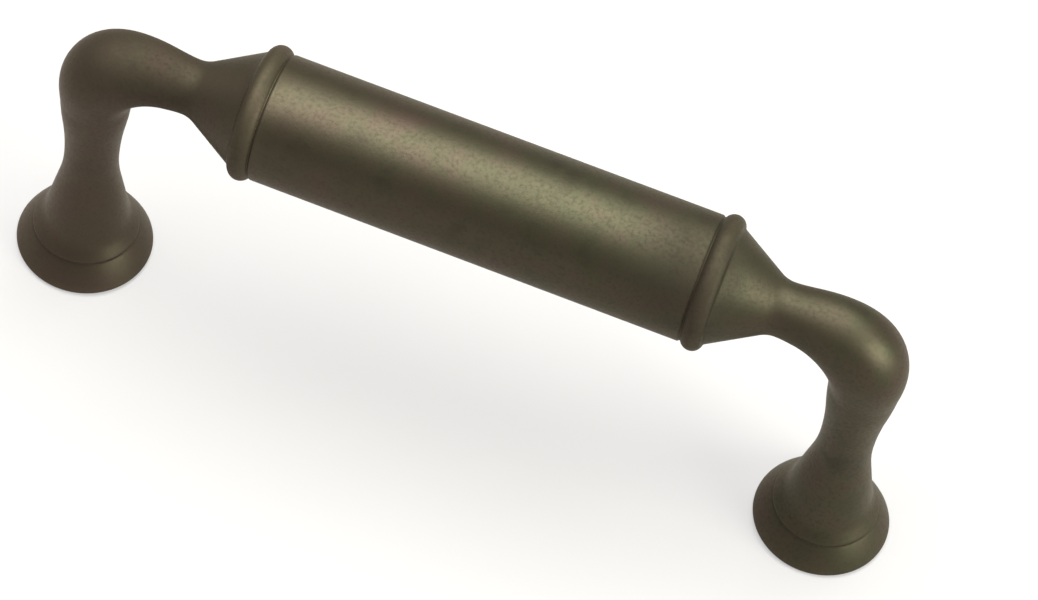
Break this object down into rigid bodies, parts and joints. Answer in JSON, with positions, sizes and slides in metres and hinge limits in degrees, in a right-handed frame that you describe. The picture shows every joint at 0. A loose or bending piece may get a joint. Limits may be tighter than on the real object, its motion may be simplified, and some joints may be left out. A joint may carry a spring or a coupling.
{
  "type": "cabinet handle",
  "caption": "Cast arched cabinet handle with a straight round grip, ringed by beads, that flares down to waisted elbows and turned bell feet with blind screw holes underneath.",
  "frame": {"origin": "midway between the two screw holes, on the face of the feet that meets the door or drawer front", "axes": "+X along the grip, +Z out from the mounting face towards the hand, +Y across the grip"},
  "size_m": [0.0896, 0.0132, 0.0373],
  "materials": {
    "dark_bronze": "satin oil-rubbed bronze patina"
  },
  "bodies": {
    "root": {"handle": "dark_bronze"}
  },
  "joints": []
}
